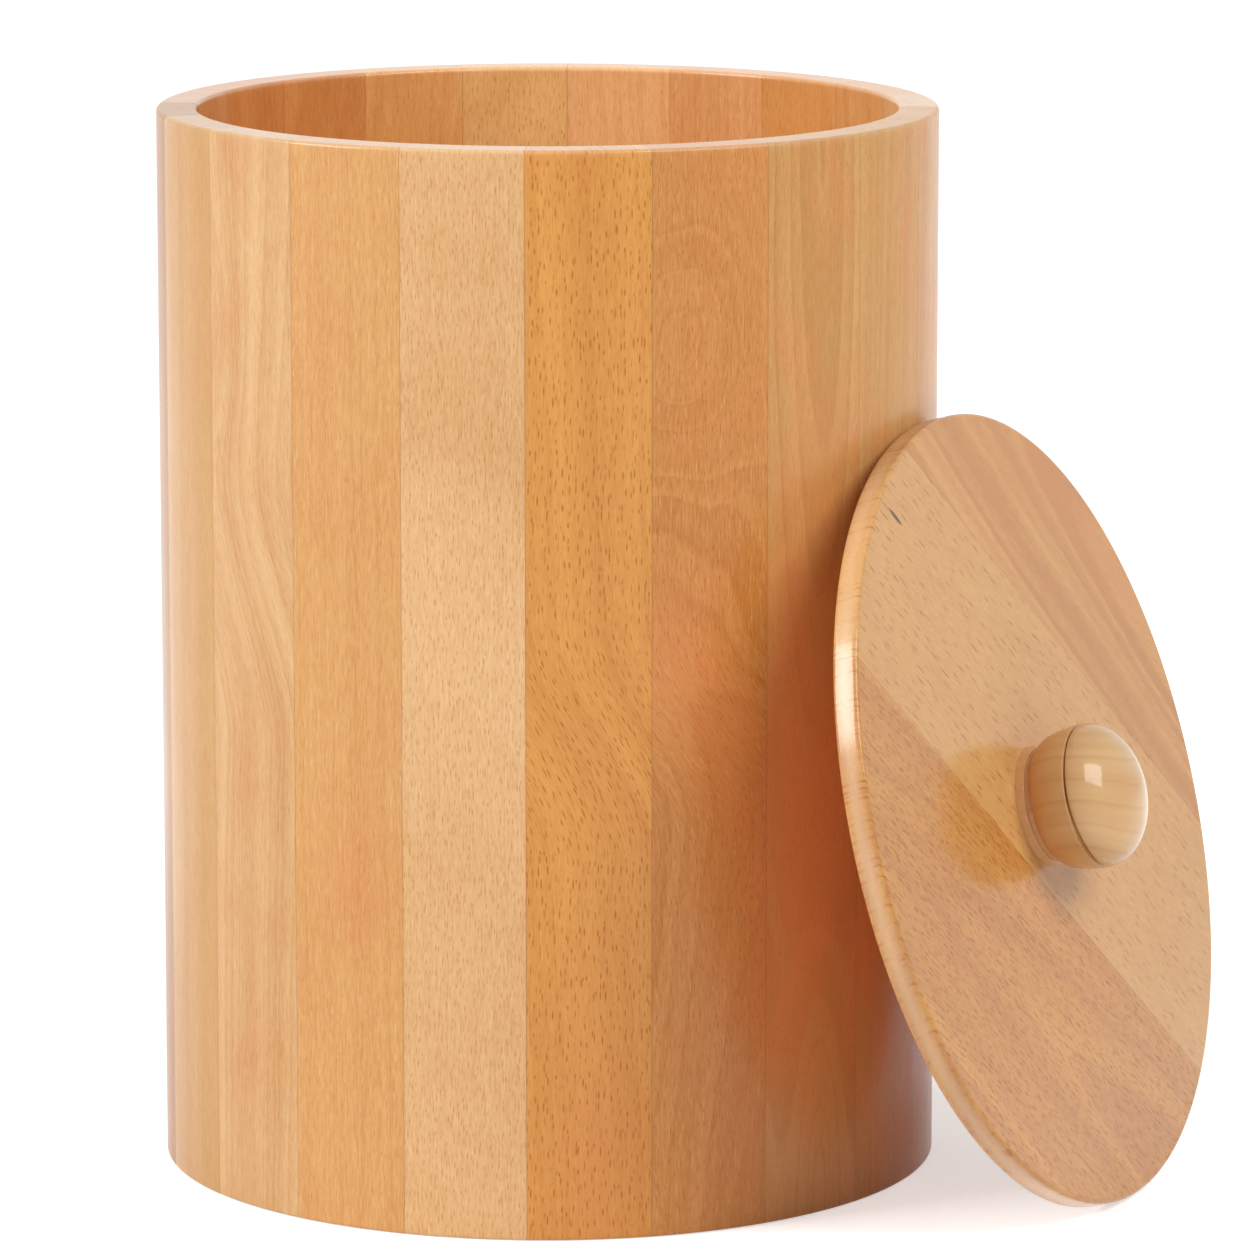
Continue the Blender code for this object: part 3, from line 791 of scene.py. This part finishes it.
def points_of(*nodes):
    """Vertices of some solids, one row each."""
    return np.array([v.co for node in nodes for v in frame["nodes"][node].data.vertices])


def frame_of(place, x_axis, y_axis, z_axis):
    """The matrix of a frame, from its origin and its axes."""
    axes = Matrix((x_axis, y_axis, z_axis)).transposed().to_4x4()
    return Matrix.Translation(place) @ axes


def wall_sizes():
    """Outer, inner and rebate radius of the wall, its height and the rebate's."""
    points = points_of(*STAVES)
    radii = np.hypot(points[:, 0], points[:, 1])
    heights = points[:, 2]
    foot = radii[heights < SAME].min()
    inner = radii.min()
    rebate = heights[radii < (inner + foot) / 2].min()
    return radii.max(), inner, foot, heights.max(), rebate


OUTER, INNER, REBATE, HEIGHT, REBATE_HEIGHT = map(float, wall_sizes())


def staves():
    """The wall: each stave is the wall's section swept between its two glue joints."""
    outer = OUTER - ROUND_INSET
    section = eased([
        (REBATE, 0.0, REBATE_ARRIS),
        (outer, 0.0, FOOT_ARRIS),
        (outer, HEIGHT, WALL_ARRIS),
        (INNER, HEIGHT, WALL_ARRIS),
        (INNER, REBATE_HEIGHT, REBATE_ARRIS),
        (REBATE, REBATE_HEIGHT, 0.0),
    ])
    pitch = 2 * math.pi / len(STAVES)
    width = pitch - VISIBLE_JOINT / outer
    right_side = Vector((-math.cos(pitch / 2), -math.sin(pitch / 2), 0.0))
    left_side = Vector((-right_side.x, right_side.y, 0.0))
    reach = OUTER / MM * math.sin(pitch / 2)
    for node, board in STAVES.items():
        middle = points_of(node).mean(axis=0)
        turn = math.atan2(middle[1], middle[0])
        start = turn - width / 2
        bm = bmesh.new()
        corners = [bm.verts.new((r * math.cos(start), r * math.sin(start), z)) for r, z in section]
        face = bm.faces.new(corners)
        bmesh.ops.spin(
            bm, geom=[face, *face.edges, *face.verts], axis=(0, 0, 1), cent=(0, 0, 0),
            angle=width, steps=STAVE_STEPS,
        )
        out = Vector((math.cos(turn), math.sin(turn), 0.0))
        axes = frame_of(out * OUTER, Vector((-out.y, out.x, 0.0)), -out, Vector((0, 0, 1)))
        material = board_material(
            node + "_beech", {**RIM_PAINTED_SHEEN, **board}, axes, left=(left_side, reach), right=(right_side, reach)
        )
        piece(node + "_turned", bm, material, "bin", node)


def base_boards():
    """The floor: a turned disc with a thin edge, sawn into boards."""
    points = points_of(*BASE_BOARDS)
    radii = np.hypot(points[:, 0], points[:, 1])
    radius, thickness = float(radii.max()), float(points[:, 2].max())
    edge = float(points[radii > radius - SAME][:, 2].max())
    shoulder = float(radii[points[:, 2] > edge + MM].max())
    profile = eased([
        (0.0, 0.0, 0.0),
        (radius, 0.0, REBATE_ARRIS),
        (radius, edge, REBATE_ARRIS),
        (shoulder, edge, 0.0),
        (shoulder, thickness, BASE_ARRIS),
        (0.0, thickness, 0.0),
    ])[1:-1]
    down = Vector((0, 0, -1))
    grain = Vector((math.cos(BASE_GRAIN), math.sin(BASE_GRAIN), 0.0))
    across = Vector((-grain.y, grain.x, 0.0))
    axes = frame_of(Vector((0, 0, thickness)), down.cross(grain), down, grain)
    for node, board in BASE_BOARDS.items():
        low, high = edges_across(node, across, BASE_BOARDS)
        bm = cut_slab(turned(profile, DISC_STEPS), across, low, high)
        material = board_material(node + "_beech", board, axes, *glued(axes, across, low, high))
        piece(node + "_planed", bm, material, "bin", node)


def edges_across(node, across, family, centre=Vector()):
    """Where a board's two glue joints lie along a direction, or None at the rim of its disc."""
    def span(name):
        distances = (points_of(name) - np.array(centre)) @ np.array(across)
        return distances.min(), distances.max()

    spans = [span(name) for name in family]
    low, high = span(node)
    half = VISIBLE_JOINT / 2
    below = [other[1] for other in spans if other[1] < low]
    above = [other[0] for other in spans if other[0] > high]
    return (
        float(low + max(below)) / 2 + half if below else None,
        float(high + min(above)) / 2 - half if above else None,
    )


def glued(axes, across, low, high):
    """A board's glued edges, each as the direction into the board and its distance in millimetres."""
    direction = axes.to_3x3().inverted() @ across
    edges = []
    for distance, sign in ((low, 1.0), (high, -1.0)):
        if distance is None:
            edges.append(None)
        else:
            edges.append((direction * sign, -distance / MM * sign))
    return edges


def lid_axes():
    """The lid's frame: X level across its face, Y up its slope, Z along the knob, from its ledge's centre."""
    normal = Vector(frame["joints"][0]["axis"]).normalized()
    level = Vector((0, 0, 1)).cross(normal).normalized()
    upslope = normal.cross(level)
    turn = np.array((level, upslope, normal))
    points = points_of(*LID_BOARDS) @ turn.T
    middle = (points.min(axis=0) + points.max(axis=0)) / 2
    radii = np.hypot(*(points[:, :2] - middle[:2]).T)
    ledge = points[radii > radii.max() * LID_RIM][:, 2].min()
    centre = Vector((middle[0], middle[1], ledge))
    return frame_of(turn.T @ np.array(centre), level, upslope, normal)


def lid_points(axes, *nodes):
    """(radius, height) of the vertices of some solids, in the lid's frame."""
    inverse = np.array(axes.inverted())
    points = points_of(*nodes) @ inverse[:3, :3].T + inverse[:3, 3]
    return np.hypot(points[:, 0], points[:, 1]), points[:, 2]


def lid_boards(axes):
    """The lid: one turned disc with a step below, sawn into three boards."""
    radii, heights = lid_points(axes, *LID_BOARDS)
    radius, top, bottom = float(radii.max()) - ROUND_INSET, float(heights.max()), float(heights.min())
    hole = float(radii.min())
    sink = float(radii[heights < bottom + SAME].min())
    step = float(radii[(heights < -MM) & (radii > radius / 2)].max())
    sink_top = bottom + sink - hole
    profile = eased([
        (sink, bottom, 0.0),
        (step, bottom, STEP_ARRIS),
        (step, 0.0, 0.0),
        (radius, 0.0, LID_ARRIS),
        (radius, top, LID_ARRIS),
        (hole, top, 0.0),
        (hole, sink_top, 0.0),
    ])
    across = Vector((-math.sin(LID_GRAIN), math.cos(LID_GRAIN), 0.0))
    grain = Vector((math.cos(LID_GRAIN), math.sin(LID_GRAIN), 0.0))
    turn = axes.to_3x3()
    aside = turn @ across
    board_axes = frame_of(axes @ Vector((0, 0, top)), aside, -turn.col[2], turn @ -grain)
    for node, board in LID_BOARDS.items():
        low, high = edges_across(node, aside, LID_BOARDS, axes.to_translation())
        bm = cut_slab(turned(profile, DISC_STEPS, closed=True), across, low, high)
        bm.transform(axes)
        edges = glued(board_axes, aside, low, high)
        material = board_material(node + "_beech", board, board_axes, *edges)
        piece(node + "_turned", bm, material, "lid", node)


def knob(axes):
    """The knob: foot, waist and rounded head with a groove along its widest line."""
    radii, heights = lid_points(axes, "knob")
    foot, crown = float(heights.min()), float(heights.max())
    head, hole = float(radii.max()), float(radii[heights < foot + SAME].min())
    pilot = float(heights[(abs(radii - hole) < SAME) & (heights < crown - MM)].max())
    foot_radius = float(radii[heights < foot + KNOB_FOOT_HEIGHT].max())
    seat = foot - KNOB_SEAT
    ledge = foot + KNOB_FOOT_HEIGHT - KNOB_FOOT_ROUND
    waist = foot + KNOB_WAIST_HEIGHT
    equator = foot + KNOB_EQUATOR
    profile = [(hole, pilot), (hole, seat), (foot_radius, seat)]
    for turn in angles(*KNOB_FOOT_ARC):
        profile.append((
            foot_radius - KNOB_FOOT_TAPER - KNOB_FOOT_ROUND * (1 - math.cos(turn)),
            ledge + KNOB_FOOT_ROUND * math.sin(turn),
        ))
    for turn in angles(*KNOB_WAIST_ARC)[:-1]:
        radius = KNOB_WAIST_RADIUS + (head - KNOB_WAIST_RADIUS) * math.sin(turn)
        profile.append((radius, equator - (equator - waist) * math.cos(turn)))
    half = KNOB_GROOVE_WIDTH / 2
    lip = half * GROOVE_LIP
    profile += [
        (head, equator - half - lip),
        (head - lip * GROOVE_LIP_DROP, equator - half),
        (head - KNOB_GROOVE_DEPTH, equator - half * GROOVE_BED),
        (head - KNOB_GROOVE_DEPTH, equator + half * GROOVE_BED),
        (head - lip * GROOVE_LIP_DROP, equator + half),
        (head, equator + half + lip),
    ]
    for turn in angles(*KNOB_CROWN_ARC)[1:]:
        profile.append((head * math.cos(turn), equator + (crown - equator) * math.sin(turn)))
    bm = turned(profile, KNOB_STEPS)
    bm.transform(axes)
    turn = axes.to_3x3()
    board_axes = frame_of(axes @ Vector((0, 0, equator)), turn.col[2], -turn.col[1], turn.col[0])
    material = board_material("knob_lacquered", KNOB_WOOD, board_axes)
    piece("knob_turned", bm, material, "lid", "knob")


def knob_screw(axes):
    """The screw: countersunk head with a cross recess, shank and a thread with a helical crest."""
    radii, heights = lid_points(axes, "knob_screw")
    head, low, high = float(radii.max()), float(heights.min()), float(heights.max())
    shank = float(radii[(heights > low + MM) & (heights < high - MM)].max())
    root = shank - THREAD_DEPTH
    pitches = int((high - low - THREAD_START) / THREAD_PITCH)

    def thread(turns, share):
        """Radius and height of the thread that many turns up, at a share of the way round."""
        crest = abs(((turns - share) % 1.0) * 2 - 1) ** THREAD_SHARPNESS
        height = low + THREAD_START + turns * THREAD_PITCH
        point = min(1.0, (high - height) / (POINT_LENGTH * head))
        return max(TIP_RADIUS, (root + THREAD_DEPTH * crest) * point), height

    plain = ((head, low), (shank, low + head - shank), (shank, low + THREAD_START))
    rows = [[spot] * SCREW_STEPS for spot in plain]
    for row in range(1, pitches * THREAD_ROWS):
        rows.append([thread(row / THREAD_ROWS, i / SCREW_STEPS) for i in range(SCREW_STEPS)])
    rows.append([(TIP_RADIUS, high)] * SCREW_STEPS)
    bm = bmesh.new()
    rings = [ring_of(bm, spots) for spots in rows]
    for lower, upper in zip(rings, rings[1:]):
        bridge(bm, lower, upper)
    bm.faces.new(rings[-1])
    cross_recess(bm, rings[0], low)
    bm.transform(axes)
    piece("knob_screw_threaded", bm, steel_material(), "lid", "knob_screw")


def cross_recess(bm, rim, height):
    """Closes the head's flat round a tapered cross-shaped recess."""
    half, reach = RECESS_WIDTH / 2, RECESS_SPAN / 2
    quarter = ((reach, -half), (reach, half), (half, half))
    loops = []
    for share, sink in ((1.0, 0.0), (RECESS_TAPER, RECESS_DEPTH)):
        corners = []
        for turn in range(4):
            c, s = math.cos(turn * math.pi / 2), math.sin(turn * math.pi / 2)
            for x, y in quarter:
                spot = ((x * c - y * s) * share, (x * s + y * c) * share, height + sink)
                corners.append(bm.verts.new(spot))
        loops.append(corners)
    mouth, bed = loops
    bridge(bm, mouth, bed)
    bm.faces.new(bed)
    edges = []
    for loop in (rim, mouth):
        edges += [bm.edges.get((loop[i - 1], loop[i])) for i in range(len(loop))]
    bmesh.ops.triangle_fill(bm, use_beauty=True, edges=edges)


def camera():
    """The scene's camera."""
    data = bpy.data.cameras.new("camera")
    data.lens = CAMERA_LENS
    data.clip_end = CAMERA_REACH
    obj = placed("camera", data)
    obj.location = CAMERA_PLACE
    obj.rotation_euler = (CAMERA_TILT, 0.0, CAMERA_TURN)
    bpy.context.scene.camera = obj


def seen_directly(wires):
    """1 where the eye, a reflection or a clear material looks, 0 where light falls on a surface."""
    path = wires.tree.nodes.new("ShaderNodeLightPath").outputs
    seen = wires.math("MAXIMUM", path["Is Camera Ray"], path["Is Glossy Ray"])
    return wires.math("MAXIMUM", seen, path["Is Transmission Ray"])


def white_room():
    """A world that looks white and lights the object softly from all round."""
    world = bpy.data.worlds.new("white_room")
    bpy.context.scene.world = world
    world.use_nodes = True
    wires = Wiring(world.node_tree)
    strength = wires.math("MULTIPLY_ADD", seen_directly(wires), 1.0 - ROOM_LIGHT, ROOM_LIGHT)
    shade = world.node_tree.nodes["Background"]
    shade.inputs["Color"].default_value = (1.0, 1.0, 1.0, 1.0)
    world.node_tree.links.new(strength, shade.inputs["Strength"])


def pale_floor():
    """The floor, which takes the object's shadow and looks paler the further it lies from the object."""
    bm = bmesh.new()
    bmesh.ops.create_grid(bm, x_segments=1, y_segments=1, size=FLOOR_SIZE / 2)
    bmesh.ops.translate(bm, verts=bm.verts, vec=(0, 0, -FLOOR_DROP))
    mesh = bpy.data.meshes.new("floor")
    bm.to_mesh(mesh)
    bm.free()
    floor = placed("floor", mesh)
    material, wires = new_material("pale_floor")
    tree = wires.tree
    tree.nodes.remove(tree.nodes["Principled BSDF"])
    matt = wires.add("ShaderNodeBsdfDiffuse", {"Color": (FLOOR_GREY, FLOOR_GREY, FLOOR_GREY, 1.0)})
    where = tree.nodes.new("ShaderNodeTexCoord").outputs["Object"]
    reach = {
        "Value": wires.vector("LENGTH", where, output=1), "From Min": FLOOR_NEAR, "From Max": FLOOR_FAR,
        "To Min": FLOOR_GLOW_NEAR, "To Max": FLOOR_GLOW_FAR,
    }
    strength = wires.math("MULTIPLY", seen_directly(wires), wires.add("ShaderNodeMapRange", reach))
    glow = wires.add("ShaderNodeEmission", {"Strength": strength})
    both = wires.add("ShaderNodeAddShader", {0: matt, 1: glow})
    tree.links.new(both, tree.nodes["Material Output"].inputs["Surface"])
    mesh.materials.append(material)


def softboxes():
    """The studio's soft lamps, which face the middle of the bin."""
    for name, (turn, rise, roll, distance, width, height, power) in SOFTBOXES.items():
        data = bpy.data.lights.new(name, "AREA")
        data.shape = "RECTANGLE"
        data.size = width
        data.size_y = height
        data.energy = power
        softbox = placed(name, data)
        turn, rise = math.radians(turn), math.radians(rise)
        level = math.cos(rise)
        towards = Vector((math.cos(turn) * level, math.sin(turn) * level, math.sin(rise)))
        softbox.location = towards * distance + Vector((0, 0, HEIGHT / 2))
        facing = towards.to_track_quat("Z", "Y").to_matrix() @ Matrix.Rotation(math.radians(roll), 3, "Z")
        softbox.rotation_euler = facing.to_euler()


camera()
white_room()
pale_floor()
softboxes()
staves()
base_boards()
LID = lid_axes()
lid_boards(LID)
knob(LID)
knob_screw(LID)
bpy.context.scene.view_settings.view_transform = "Standard"

bpy.context.view_layer.update()
